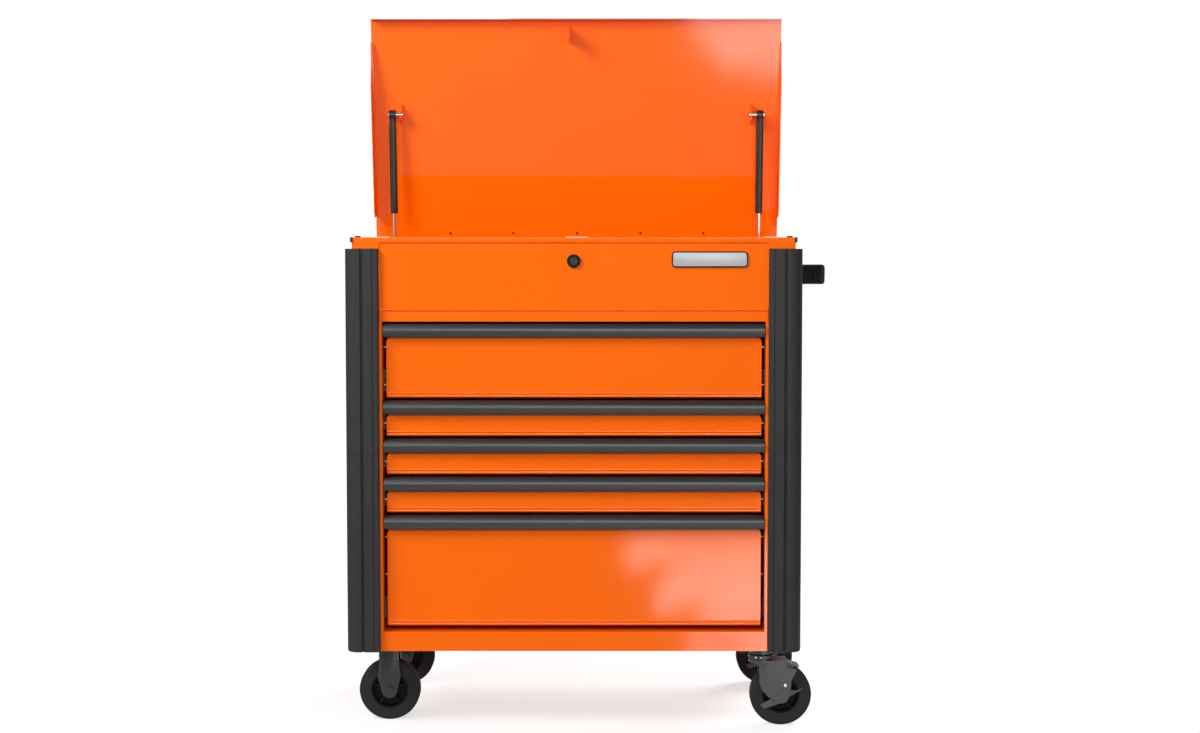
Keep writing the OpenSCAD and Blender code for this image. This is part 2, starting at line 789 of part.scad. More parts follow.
module striker() {
    slot_low = lock_z - lock_cam_r - striker_gap - hinge_z;
    slot_high = lock_z + lock_cam_r + striker_gap - hinge_z;
    reach = hinge_y - striker_front;
    slot_near = hinge_y - lock_cam_y - lock_cam_t - striker_gap;
    slot_far = hinge_y - lock_cam_y + striker_gap;
    block([-striker_x - striker_t, -reach, lid_low - striker_t],
        [-striker_x + striker_foot_w - striker_t, -reach + striker_len, lid_low]);
    translate([-striker_x - striker_t / 2, 0, 0]) along_x(striker_t) difference() {
        polygon([[reach, lid_low], [reach, striker_low - hinge_z],
            [reach - 0.6 * striker_len, striker_low - hinge_z], [reach - striker_len, lid_low]]);
        translate([slot_near, slot_low]) square([slot_far - slot_near, slot_high - slot_low]);
    }
}

module lid_brackets() {
    color(orange) at_origin() on_lid() {
        both_sides() strut_lid_bracket();
        striker();
    }
}

module strut_lid_studs() {
    tip = strut_x + strut_end_w / 2 + stud_clear;
    color(steel) at_origin() on_lid() both_sides() translate([0, -lid_stud_reach, lid_stud_z]) {
        bar_x(stud_r, lid_bracket_x - bracket_t - 1, tip + 2);
        bar_x(stud_r + 2, tip, tip + 2);
        bar_x(stud_r + 3, lid_bracket_x, lid_bracket_x + 3);
        bar_x(stud_r + 2, lid_bracket_x - bracket_t - 3, lid_bracket_x - bracket_t);
    }
}

module strut_cabinet_brackets() {
    far = half_w - sheet_t;
    near = strut_x + strut_end_w / 2 + stud_clear;
    b = cabinet_bracket / 2;
    color(steel) at_origin() both_sides() translate([0, stud_low[0], stud_low[1]]) {
        block([far - bracket_t, -b, -b], [far, b - 8, b]);
        bar_x(stud_r + 1, near, far - bracket_t + eps);
        bar_x(stud_r + 4, far - bracket_t - 4, far - bracket_t + eps);
    }
}

// Gas struts: the tube hangs from the lid stud, and the rod slides in the tube

module strut_cylinder(side) {
    color(black) at_origin() on_strut(side) difference() {
        union() {
            bar_x(strut_end_r, -strut_end_w / 2, strut_end_w / 2);
            cylinder(r = strut_end_w / 2, h = strut_end_len);
            translate([0, 0, strut_end_len - 2])
                cylinder(r = strut_tube_r, h = strut_tube_len - strut_end_len + 2);
        }
        bar_x(stud_r + running_fit, -strut_end_w, strut_end_w);
        translate([0, 0, strut_end_len + 4])
            cylinder(r = strut_bore_r, h = strut_tube_len - strut_guide_len - strut_end_len - 4);
        translate([0, 0, strut_end_len + 4]) cylinder(r = strut_rod_r + running_fit, h = strut_tube_len);
    }
}

module strut_rod(side) {
    piston_at = strut_tube_len - strut_guide_len - strut_piston_len - 1;
    color(steel) at_origin() on_strut(side) {
        translate([0, 0, piston_at]) cylinder(r = strut_bore_r - running_fit, h = strut_piston_len);
        translate([0, 0, piston_at]) cylinder(r = strut_rod_r, h = strut_len - piston_at);
        translate([0, 0, strut_len - strut_end_len + 4])
            cylinder(r = strut_end_w / 2, h = strut_end_len - 4);
        translate([0, 0, strut_len]) bar_x(strut_end_r, -strut_end_w / 2, strut_end_w / 2);
    }
}

module strut_cylinder_left() { strut_cylinder(-1); }
module strut_cylinder_right() { strut_cylinder(1); }
module strut_rod_left() { strut_rod(-1); }
module strut_rod_right() { strut_rod(1); }

// Drawers

// A drawer front's section, drawn as (forward, up): the sheet rolls backwards at its lower edge
module front_section(height) {
    r = front_roll;
    groove_turn = 15;
    translate([-drawer_t, r]) square([drawer_t, height - r]);
    translate([-front_return, 0]) square([front_return - r, drawer_t]);
    translate([-r, r]) difference() {
        intersection() {
            circle(r);
            translate([0, -r]) square(r);
        }
        circle(r - drawer_t);
        rotate(-groove_turn) translate([r, 0]) circle(front_groove_r);
    }
}

// What the drawer front loses at its upper right-hand corner; z is the height of the rounding's centre
module front_corner_cut(half, z) {
    r = front_corner;
    translate([half - r, front_recess + drawer_t + 1, z]) rotate([90, 0, 0])
        linear_extrude(drawer_t + 2) difference() {
            square([r + 1, r + pull_h]);
            circle(r);
        }
}

// A folded tray with its front: n counts from the top
module tray(n) {
    low = front_low(n);
    high = front_high(n);
    half = opening_half - front_side_gap;
    back = slide_far - tray_back_gap;
    near = front_recess + drawer_t - eps;
    floor_z = low + tray_lift;
    wall_z = high - tray_drop;
    corner_z = high - pull_h + 2 - front_corner;
    color(orange) at_origin() {
        difference() {
            translate([0, front_recess, low]) along_x(2 * half) front_section(high - low);
            both_sides() front_corner_cut(half, corner_z);
        }
        both_sides() block([half - drawer_t, front_recess, low + front_roll],
            [half, front_recess + front_return, corner_z]);
        block([-tray_half, near, floor_z], [tray_half, back, floor_z + drawer_t]);
        both_sides() block([tray_half - drawer_t, near, floor_z], [tray_half, back, wall_z]);
        block([-tray_half, back - drawer_t, floor_z], [tray_half, back, wall_z]);
    }
}

// The pull's section, drawn as (forward, up) from the drawer front's face: a round shell that hangs
// from a back plate, with room for fingertips behind its lower edge
module pull_section() {
    mid = [pull_out - pull_round, pull_h - pull_round + 1];
    hollow_r = pull_round - pull_wall;
    drop = hollow_r - pull_edge;
    low = mid[1] - drop;
    edge_far = mid[0] + sqrt(pull_round * pull_round - drop * drop);
    edge_near = mid[0] + sqrt(hollow_r * hollow_r - drop * drop);
    difference() {
        intersection() {
            union() {
                translate(mid) circle(pull_round);
                translate([-4, 0]) square([mid[0] + 4, pull_h]);
            }
            translate([0, low]) square([2 * pull_out, pull_h - low]);
        }
        difference() {
            union() {
                translate(mid) circle(hollow_r);
                translate([-4, low - 1]) square([mid[0] + 4, pull_h - pull_wall - low + 1]);
            }
            translate([-2, pull_h - pull_wall]) square([2 * pull_out, pull_h]);
            translate([-2, pull_h - pull_back_h]) square([2 + pull_back_t, pull_h]);
        }
    }
    translate([(edge_near + edge_far) / 2 + 0.1, low + 0.4]) circle(pull_bead_r);
}

module pull(n) {
    color(black) at_origin() translate([0, front_recess, front_high(n) - pull_h])
        along_x(2 * (opening_half - pull_side_gap)) pull_section();
}

// One channel-shaped slide member on the right-hand side, open towards the tray
module channel(outer_x, height, reach, z) {
    block([outer_x - slide_t, slide_near, z - height / 2], [outer_x, slide_far, z + height / 2]);
    for (edge = [z - height / 2, z + height / 2 - slide_t])
        block([outer_x - reach, slide_near, edge], [outer_x, slide_far, edge + slide_t]);
}

module slide_outer_members() {
    reach = slide_w - slide_lip;
    color(zinc) at_origin() for (n = [1:drawer_count])
        both_sides() channel(slide_outer_x, slide_h, reach, slide_z(n));
}

module slide_middle(n) {
    reach = slide_mid_x - tray_half - slide_lip;
    color(zinc) at_origin() both_sides() channel(slide_mid_x, slide_mid_h, reach, slide_z(n));
}

// The runner is a channel on the tray, open towards the slide
module runners(n) {
    z = slide_z(n);
    color(zinc) at_origin() both_sides() {
        block([tray_half, slide_near, z - runner_h / 2],
            [tray_half + slide_t, slide_far, z + runner_h / 2]);
        for (edge = [z - runner_h / 2, z + runner_h / 2 - slide_t])
            block([tray_half, slide_near, edge], [runner_reach, slide_far, edge + slide_t]);
    }
}

module drawer_1_tray() { tray(1); }
module drawer_2_tray() { tray(2); }
module drawer_3_tray() { tray(3); }
module drawer_4_tray() { tray(4); }
module drawer_5_tray() { tray(5); }
module drawer_1_pull() { pull(1); }
module drawer_2_pull() { pull(2); }
module drawer_3_pull() { pull(3); }
module drawer_4_pull() { pull(4); }
module drawer_5_pull() { pull(5); }
module drawer_1_runners() { runners(1); }
module drawer_2_runners() { runners(2); }
module drawer_3_runners() { runners(3); }
module drawer_4_runners() { runners(4); }
module drawer_5_runners() { runners(5); }
module slide_1_middle() { slide_middle(1); }
module slide_2_middle() { slide_middle(2); }
module slide_3_middle() { slide_middle(3); }
module slide_4_middle() { slide_middle(4); }
module slide_5_middle() { slide_middle(5); }

// Casters

module caster_plate() {
    difference() {
        block([-caster_plate_x / 2, -caster_plate_y / 2, plate_low],
            [caster_plate_x / 2, caster_plate_y / 2, caster_h]);
        for (x = [-bolt_x, bolt_x], y = [-bolt_y, bolt_y])
            translate([x, y, plate_low])
                cylinder(r = caster_bolt_r + hole_fit, h = 3 * caster_plate_t, center = true);
    }
}

module caster_bolt_places() {
    for (place = concat(rigid_places, swivel_places), x = [-bolt_x, bolt_x], y = [-bolt_y, bolt_y])
        translate([place[0] + x, place[1] + y, caster_h]) children();
}

// Hexagon bolts through the caster plates and the base pan, and the handle's screws from inside the panel
module fixing_bolts() {
    nut_t = 6;
    color(steel) at_origin() {
        caster_bolt_places() {
            translate([0, 0, -caster_plate_t - bolt_head_t])
                cylinder(r = 1.7 * caster_bolt_r, h = bolt_head_t, $fn = 6);
            translate([0, 0, -caster_plate_t - eps])
                cylinder(r = caster_bolt_r, h = caster_plate_t + sheet_t + nut_t + 2);
            translate([0, 0, sheet_t]) cylinder(r = 1.7 * caster_bolt_r, h = nut_t, $fn = 6);
        }
        handle_screw_places() {
            bar_x(2 * handle_screw_r, half_w - sheet_t - 3, half_w - sheet_t);
            bar_x(handle_screw_r, half_w - sheet_t - eps, half_w + 2 * handle_round - 5);
        }
    }
}

// An axle bolt with its two heads, across a fork whose wheel is at the origin
module axle_bolt() {
    bar_y(axle_r, -fork_far - axle_head_t, fork_far + axle_head_t);
    for (side = [0, 1]) mirror([0, side, 0]) bar_y(axle_head_r, fork_far, fork_far + axle_head_t);
}

// The rigid fork's leg, drawn as (right, up) from the wheel's middle
module rigid_leg() {
    top = plate_low - wheel_r;
    end_r = 3.2 * axle_r;
    shoulder = top - rigid_shoulder_drop;
    polygon([[-18.5, top + eps], [-18.5, shoulder], [-23.5, 28], [-end_r, -2],
        [end_r, -2], [23.5, 28], [18.5, shoulder], [18.5, top + eps]]);
    circle(end_r);
}

// The pressed rib on the rigid leg, with sloping sides
module rigid_leg_rib() {
    low = 20;
    flat = 12.8;
    foot = 23.5;
    intersection() {
        translate([0, 0, low]) linear_extrude(plate_low - wheel_r - low + eps)
            polygon([[-foot, fork_far - eps], [-flat, fork_far + rib_out],
                [flat, fork_far + rib_out], [foot, fork_far - eps]]);
        along_y(fork_near, fork_far + rib_out + 1) rigid_leg();
    }
}

module rigid_forks() {
    color(black) at_origin() for (place = rigid_places) translate([place[0], place[1], 0]) {
        caster_plate();
        translate([0, 0, wheel_r]) {
            for (side = [0, 1]) mirror([0, side, 0]) difference() {
                union() {
                    along_y(fork_near, fork_far) rigid_leg();
                    rigid_leg_rib();
                }
                bar_y(axle_r + running_fit, 0, 2 * fork_far);
            }
            axle_bolt();
        }
    }
}

// Fixed half of a swivel: plate, race and king pin with its nut under the fork's crown
module swivel_plates() {
    color(black) at_origin() for (place = swivel_places) translate([place[0], place[1], 0]) {
        caster_plate();
        translate([0, 0, head_high + swivel_gap])
            cylinder(r = swivel_head_r - 2, h = plate_low - head_high - swivel_gap + eps);
        translate([0, 0, crown_low - swivel_gap - 1])
            cylinder(r = king_pin_r, h = plate_low - crown_low + swivel_gap + 1 + eps);
        translate([0, 0, crown_low - swivel_gap - 8]) cylinder(r = king_pin_r + 3, h = 8);
    }
}

// The swivel fork's leg, drawn as (right, up) from under the king pin at floor level
module swivel_leg() {
    polygon([[-5, crown_low + crown_t], [-5, wheel_r + 27], [-1, wheel_r + 13], [14, wheel_r - 4],
        [swivel_trail - 13, wheel_r - 8], [swivel_trail + 14, wheel_r - 7],
        [swivel_trail + 19, wheel_r + 18], [swivel_trail + 21, wheel_r + 32],
        [swivel_trail + 31, wheel_r + 50], [swivel_trail + 31, wheel_r + 54],
        [swivel_trail + 12, wheel_r + 58], [swivel_trail + 12, crown_low + crown_t]]);
    translate([swivel_trail, wheel_r]) circle(3.2 * axle_r);
}

// The pressed panel on the swivel leg, which slopes back to the leg's front edge
module swivel_leg_panel() {
    slope_end = 10.5;
    far = 2 * swivel_trail + 31;
    intersection() {
        linear_extrude(crown_low + crown_t)
            polygon([[-5, fork_far - eps], [slope_end, fork_far + panel_out],
                [far, fork_far + panel_out], [far, fork_far - eps]]);
        along_y(fork_near, fork_far + panel_out + 1) swivel_leg();
    }
}

// Turning half of a swivel: crown, head, two legs, axle bolt and the brake's pivot pin
module swivel_fork(place) {
    color("dimgray") at_origin() translate([place[0], place[1], 0]) {
        difference() {
            union() {
                translate([0, 0, crown_low]) cylinder(r = swivel_head_r, h = crown_t);
                translate([0, 0, crown_low]) cylinder(r = swivel_head_r - 3, h = head_high - crown_low);
                block([0, -fork_far, crown_low], [swivel_trail + 12, fork_far, crown_low + crown_t]);
                for (side = [0, 1]) mirror([0, side, 0]) {
                    along_y(fork_near, fork_far) swivel_leg();
                    swivel_leg_panel();
                }
                translate([swivel_trail + brake_pivot[0], 0, wheel_r + brake_pivot[1]])
                    bar_y(brake_pin_r, -fork_far - panel_out - 1.5, -brake_near);
            }
            translate([0, 0, crown_low - 1])
                cylinder(r = king_pin_r + running_fit, h = plate_low - crown_low);
            translate([swivel_trail, 0, wheel_r]) bar_y(axle_r + running_fit, -2 * fork_far, 2 * fork_far);
        }
        translate([swivel_trail, 0, wheel_r]) axle_bolt();
    }
}

// Brake pedal, drawn as (right, up) from the wheel's middle: a plate with three arms round the axle
module brake_outline() {
    difference() {
        union() {
            circle(3.4 * axle_r);
            polygon([[-42, -20], [-34, -28], [2, -16], [2, 4]]);
            polygon([[8, -8], [24, 0], [42, 11.5], [41, 13.5], [30, 9], [16, 12]]);
            polygon([[-6, 8], [20, 2], [22, 34], [26, 61], [14, 64], [0, 34]]);
        }
        circle(2.4 * axle_r);
        translate(brake_pivot) circle(brake_pin_r + running_fit);
    }
}

// The tread lies across the wheel at the top of the brake plate
module brake_pedal(place) {
    far = brake_near + brake_t;
    lift = wheel_r - 62.5;
    color(zinc) at_origin() translate([place[0] + swivel_trail, place[1], wheel_r]) {
        along_y(-far, -brake_near) brake_outline();
        along_y(-far, far) translate([0, lift]) polygon([[13, 62.9], [36, 56.7], [37, 59.7], [14, 66.1]]);
    }
}

module front_swivel_fork() { swivel_fork(swivel_places[0]); }
module rear_swivel_fork() { swivel_fork(swivel_places[1]); }
module front_brake_pedal() { brake_pedal(swivel_places[0]); }
module rear_brake_pedal() { brake_pedal(swivel_places[1]); }

// Wheels turn about Y: a tyre on a spoked core

module at_wheel(place, trail) {
    translate([place[0] + trail, place[1], wheel_r]) rotate([90, 0, 0]) children();
}

module tyre(place, trail) {
    half = wheel_w / 2;
    color(black) at_origin() at_wheel(place, trail) rotate_extrude() {
        translate([tyre_inner_r, -half]) square([wheel_r - tyre_inner_r - tyre_round, wheel_w]);
        translate([tyre_inner_r, tyre_round - half])
            square([wheel_r - tyre_inner_r, wheel_w - 2 * tyre_round]);
        for (side = [-1, 1])
            translate([wheel_r - tyre_round, side * (half - tyre_round)]) circle(tyre_round);
    }
}

module wheel_core(place, trail) {
    rim_t = 3.5;
    rim_half = wheel_w / 2 - 1;
    web_half = 3;
    spoke_half = wheel_w / 2 - 4;
    color("#1b1b1c") at_origin() at_wheel(place, trail) difference() {
        union() {
            difference() {
                cylinder(r = tyre_inner_r - running_fit, h = 2 * rim_half, center = true);
                cylinder(r = tyre_inner_r - rim_t, h = 3 * rim_half, center = true);
            }
            cylinder(r = tyre_inner_r - rim_t + eps, h = 2 * web_half, center = true);
            cylinder(r = hub_r, h = 2 * hub_half, center = true);
            for (i = [0:spoke_count - 1]) rotate(90 + i * 360 / spoke_count)
                block([hub_r - 2, -3, -spoke_half], [tyre_inner_r - rim_t + 1, 3, spoke_half]);
        }
        cylinder(r = axle_r + running_fit, h = 4 * hub_half, center = true);
    }
}

module front_left_tyre() { tyre(rigid_places[0], 0); }
module front_left_wheel_core() { wheel_core(rigid_places[0], 0); }
module rear_left_tyre() { tyre(rigid_places[1], 0); }
module rear_left_wheel_core() { wheel_core(rigid_places[1], 0); }
module front_right_tyre() { tyre(swivel_places[0], swivel_trail); }
module front_right_wheel_core() { wheel_core(swivel_places[0], swivel_trail); }
module rear_right_tyre() { tyre(swivel_places[1], swivel_trail); }
module rear_right_wheel_core() { wheel_core(swivel_places[1], swivel_trail); }

left_side_panel();
right_side_panel();
back_panel();
base_pan();
front_fascia();
well_floor();
front_bumpers();
rear_bumpers();
push_handle();
lock_housing();
lid_pads();
hinge_cabinet_leaves();
hinge_pins();
strut_cabinet_brackets();
slide_outer_members();
rigid_forks();
swivel_plates();
fixing_bolts();
lid();
hinge_lid_leaves();
lid_brackets();
strut_lid_studs();
strut_cylinder_left();
strut_cylinder_right();
strut_rod_left();
strut_rod_right();
lock_plug();
front_left_tyre();
front_left_wheel_core();
rear_left_tyre();
rear_left_wheel_core();
front_right_tyre();
front_right_wheel_core();
rear_right_tyre();
rear_right_wheel_core();
front_swivel_fork();
rear_swivel_fork();
front_brake_pedal();
rear_brake_pedal();
drawer_1_tray();
drawer_2_tray();
drawer_3_tray();
drawer_4_tray();
drawer_5_tray();
drawer_1_pull();
drawer_2_pull();
drawer_3_pull();
drawer_4_pull();
drawer_5_pull();
drawer_1_runners();
drawer_2_runners();
drawer_3_runners();
drawer_4_runners();
drawer_5_runners();
slide_1_middle();
slide_2_middle();
slide_3_middle();
slide_4_middle();
slide_5_middle();
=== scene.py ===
import json
import math

import bmesh
import bpy
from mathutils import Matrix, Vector

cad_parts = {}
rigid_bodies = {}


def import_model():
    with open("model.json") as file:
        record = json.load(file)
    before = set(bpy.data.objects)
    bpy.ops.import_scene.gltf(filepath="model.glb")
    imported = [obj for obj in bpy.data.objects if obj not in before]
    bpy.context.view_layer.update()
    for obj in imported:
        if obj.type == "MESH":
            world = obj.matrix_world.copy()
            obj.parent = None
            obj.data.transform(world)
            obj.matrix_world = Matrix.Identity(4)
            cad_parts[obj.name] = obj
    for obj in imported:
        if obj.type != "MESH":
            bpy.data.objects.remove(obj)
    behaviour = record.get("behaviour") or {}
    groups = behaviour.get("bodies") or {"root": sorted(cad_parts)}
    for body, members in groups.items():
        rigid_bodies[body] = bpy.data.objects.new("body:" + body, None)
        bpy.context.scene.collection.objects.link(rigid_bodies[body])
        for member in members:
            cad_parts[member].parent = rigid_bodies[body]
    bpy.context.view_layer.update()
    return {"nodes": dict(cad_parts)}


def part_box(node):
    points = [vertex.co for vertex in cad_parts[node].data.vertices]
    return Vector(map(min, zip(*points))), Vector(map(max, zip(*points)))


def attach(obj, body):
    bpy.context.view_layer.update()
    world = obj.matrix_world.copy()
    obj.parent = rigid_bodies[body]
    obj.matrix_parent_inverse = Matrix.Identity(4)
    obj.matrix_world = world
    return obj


# Nothing that Blender starts with stays in the scene
for start_object in list(bpy.data.objects):
    bpy.data.objects.remove(start_object, do_unlink=True)

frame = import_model()
nodes = frame["nodes"]
scene = bpy.context.scene

# One millimetre in Blender's metres
MM = 0.001
# Points that are closer together than this are one point
WELD = 0.002 * MM
# Faces that meet at more than this angle keep a sharp edge between them
SHARP_ANGLE = math.radians(32)
# A Mix node's number inputs, then its colour inputs and colour output, which share their names
NUMBER_A, NUMBER_B = 2, 3
COLOUR_A, COLOUR_B, COLOUR_OUT = 6, 7, 2

# The cart's middle plane and the plane of its stile faces, in the frame's metres
fascia_low, fascia_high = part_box("front_fascia")
MIDDLE_X = (fascia_low.x + fascia_high.x) / 2
STILE_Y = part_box("left_side_panel")[0].y


def at(x, y, z):
    """A place in millimetres from the cart's middle, its stile faces and the floor."""
    return Vector((MIDDLE_X + x * MM, STILE_Y + y * MM, z * MM))


def per_metre(size):
    """A pattern's scale, from the size in millimetres of what it repeats."""
    return 1 / (size * MM)


def linear(code):
    """An sRGB hex colour as the linear colour that shaders take."""
    shares = [int(code[i:i + 2], 16) / 255 for i in (1, 3, 5)]
    return [s / 12.92 if s <= 0.04045 else ((s + 0.055) / 1.055) ** 2.4 for s in shares] + [1.0]


def add(tree, kind, inputs=(), **settings):
    """Adds a node with its settings. Each input is a value, or the socket or the node that it is linked
    to, where a node stands for its first output."""
    node = tree.nodes.new(kind)
    for name, value in settings.items():
        setattr(node, name, value)
    for socket, value in dict(inputs).items():
        if isinstance(value, bpy.types.Node):
            value = value.outputs[0]
        if isinstance(value, bpy.types.NodeSocket):
            tree.links.new(value, node.inputs[socket])
        else:
            node.inputs[socket].default_value = value
    return node


def surface(name, shader_values):
    """A new material: its node tree, its shader and the Object coordinates that its patterns read."""
    material = bpy.data.materials.new(name)
    material.use_nodes = True
    tree = material.node_tree
    tree.nodes.clear()
    shader = add(tree, "ShaderNodeBsdfPrincipled", shader_values)
    add(tree, "ShaderNodeOutputMaterial", {"Surface": shader.outputs["BSDF"]})
    place = add(tree, "ShaderNodeTexCoord").outputs["Object"]
    return material, tree, shader, place


def vary(tree, shader, colour, roughness, relief=None):
    """Drives a shader by patterns. Colour and roughness are each a pattern and its two ends, and relief
    is a pattern, its strength and its depth in millimetres."""
    pattern, dark, light = colour
    tone = add(tree, "ShaderNodeMix", {"Factor": pattern, COLOUR_A: linear(dark), COLOUR_B: linear(light)},
               data_type="RGBA")
    tree.links.new(tone.outputs[COLOUR_OUT], shader.inputs["Base Color"])
    pattern, least, most = roughness
    rough = add(tree, "ShaderNodeMapRange", {"Value": pattern, "To Min": least, "To Max": most})
    tree.links.new(rough.outputs["Result"], shader.inputs["Roughness"])
    if relief:
        pattern, strength, depth = relief
        bump = add(tree, "ShaderNodeBump", {"Height": pattern, "Strength": strength, "Distance": depth * MM})
        tree.links.new(bump.outputs["Normal"], shader.inputs["Normal"])


def gloss_enamel():
    """Gloss orange enamel, baked on sheet steel: a deep even colour under a smooth skin that
    mirrors the room, with the slight waviness that sprayed paint dries with."""
    material, tree, shader, place = surface("Gloss orange enamel on sheet steel",
                                            {"Specular IOR Level": 0.45})
    # Film thickness drifts over about a hand's width
    drift = add(tree, "ShaderNodeTexNoise", {"Vector": place, "Scale": per_metre(140), "Detail": 2})
    # Orange peel about 3 mm across
    peel = add(tree, "ShaderNodeTexNoise", {"Vector": place, "Scale": per_metre(3), "Detail": 1})
    vary(tree, shader, (drift, "#FC6804", "#FF6C06"), (drift, 0.045, 0.075), (peel, 0.06, 0.05))
    return material


def grained_plastic(name, dark, light, roughness, gloss, grain_size):
    """Moulded plastic: an even dark grey whose spark-eroded grain breaks up every highlight."""
    material, tree, shader, place = surface(name, {"Specular IOR Level": gloss})
    grain = add(tree, "ShaderNodeTexNoise", {"Vector": place, "Scale": per_metre(grain_size), "Detail": 3})
    # The colour clouds over three or four fingers' width
    cloud = add(tree, "ShaderNodeTexNoise", {"Vector": place, "Scale": per_metre(60), "Detail": 2})
    vary(tree, shader, (cloud, dark, light), (grain, roughness - 0.06, roughness + 0.06), (grain, 0.15, 0.1))
    return material


def drawn_aluminium():
    """Black anodised aluminium, extruded: charcoal with a satin sheen and faint die lines
    that run along the pull."""
    material, tree, shader, place = surface("Black anodised extruded aluminium",
                                            {"Specular IOR Level": 0.7})
    # Die lines 1 mm apart and a few hundred long
    along = add(tree, "ShaderNodeMapping", {"Vector": place,
                                            "Scale": (per_metre(400), per_metre(1), per_metre(1))})
    lines = add(tree, "ShaderNodeTexNoise", {"Vector": along, "Scale": 1, "Detail": 2})
    vary(tree, shader, (lines, "#131414", "#191A1A"), (lines, 0.36, 0.44), (lines, 0.08, 0.05))
    return material


def plated_steel():
    """Black-zinc pressed steel: a cool dark grey with a soft sheen that clouds from patch to patch."""
    material, tree, shader, place = surface("Black-zinc pressed steel", {"Metallic": 1.0})
    # Patches about 6 mm across
    patches = add(tree, "ShaderNodeTexVoronoi", {"Vector": place, "Scale": per_metre(6)},
                  feature="SMOOTH_F1")
    vary(tree, shader, (patches, "#4A4C4F", "#3A3C3F"), (patches, 0.32, 0.48))
    return material


def turned_steel():
    """Bright turned steel: near-white metal whose fine tool marks break up its highlights."""
    material, tree, shader, place = surface("Bright turned steel", {"Metallic": 1.0})
    # Tool marks are 0.1 mm apart, and drawn 0.8 mm apart so that they show
    marks = add(tree, "ShaderNodeTexNoise", {"Vector": place, "Scale": per_metre(0.8), "Detail": 2})
    vary(tree, shader, (marks, "#C9CACC", "#E2E2E4"), (marks, 0.16, 0.28))
    return material


def powder_coat(name, dark, light, roughness, gloss):
    """Powder coat on pressed steel: an even skin with a fine sandy texture."""
    material, tree, shader, place = surface(name, {"Specular IOR Level": gloss})
    # Powder texture is 0.5 mm, and drawn 1 mm so that it shows
    sand = add(tree, "ShaderNodeTexNoise", {"Vector": place, "Scale": per_metre(1), "Detail": 2})
    vary(tree, shader, (sand, dark, light), (sand, roughness - 0.08, roughness + 0.08), (sand, 0.2, 0.1))
    return material


def brushed_plate():
    """Brushed aluminium plate: a pale satin grey drawn sideways by fine brush lines."""
    material, tree, shader, place = surface("Brushed aluminium plate", {"Metallic": 0.2})
    # Brush lines are 0.1 mm apart, and drawn 0.6 mm apart so that they show
    along = add(tree, "ShaderNodeMapping", {"Vector": place,
                                            "Scale": (per_metre(60), per_metre(1), per_metre(0.6))})
    lines = add(tree, "ShaderNodeTexNoise", {"Vector": along, "Scale": 1, "Detail": 3})
    vary(tree, shader, (lines, "#A2A3A5", "#B4B5B7"), (lines, 0.35, 0.5))
    return material


finishes = {
    "orange_paint": gloss_enamel(),
    # An even charcoal with hardly any shine
    "bumper_plastic": grained_plastic("Moulded black ABS", "#2B2B2C", "#313132", 0.5, 0.18, 1.2),
    # Near black, and smooth enough to catch clear highlights
    "handle_plastic": grained_plastic("Moulded black nylon grip", "#050506", "#090909", 0.12, 0.5, 1.2),
    "pull_black": drawn_aluminium(),
    # A warm black with hardly any shine
    "lock_black": grained_plastic("Black moulded lock collar", "#0B0909", "#100D0C", 0.5, 0.12, 0.8),
    # A dull dark grey
    "pad_rubber": grained_plastic("Cast rubber pads", "#3A3A3B", "#484849", 0.8, 0.25, 0.8),
    "bright_steel": turned_steel(),
    "zinc_steel": plated_steel(),
    # Black, with a soft streak of light along the tube
    "strut_black": powder_coat("Black stove-enamelled tube", "#18191A", "#1F2021", 0.34, 0.45),
    # Black, with a clear sheen on its bends
    "fork_black": powder_coat("Black powder-coated steel", "#161617", "#1B1B1C", 0.27, 0.6),
    # Dark grey, with a soft sheen
    "fork_grey": powder_coat("Grey powder-coated steel", "#383839", "#414142", 0.36, 0.7),
    # A paler grey than the fork behind it, and duller
    "brake_grey": powder_coat("Grey cast brake lever", "#464647", "#525253", 0.42, 0.45),
    # A dull, very dark grey
    "tyre_black": grained_plastic("Moulded rubber tyre", "#222222", "#292929", 0.75, 0.2, 1.5),
    # Almost black, with hardly any shine
    "core_black": grained_plastic("Moulded black nylon core", "#050505", "#080808", 0.45, 0.12, 1.2),
}
# A warm dark grey, paler than the collar around it
lock_face = powder_coat("Satin black-nickel lock plug", "#211F1D", "#282624", 0.4, 0.3)
# Black, with a dull sheen; on the lid's blind rivets this black is painted shade for the rivet holes
dark_bolts_and_rivet_shade = powder_coat("Black-oxide steel fixings and painted rivet shade", "#161616", "#1E1E1E", 0.45, 0.4)
# Pale grey against the darker lever
tread_steel = powder_coat("Pale cast brake tread", "#8A8B8C", "#98999A", 0.4, 0.5)
# Near white, and matt: painted highlight that stands in for the glints on the clips
clip_glint_white = powder_coat("Near-white clip coat, painted glint", "#C4C5C7", "#D2D3D5", 0.45, 0.5)

for node_name, cad_node in nodes.items():
    own_finish = {"lock_plug": lock_face, "fixing_bolts": dark_bolts_and_rivet_shade}.get(node_name)
    for material_slot in cad_node.material_slots:
        material_slot.material = own_finish or finishes[material_slot.material.name]


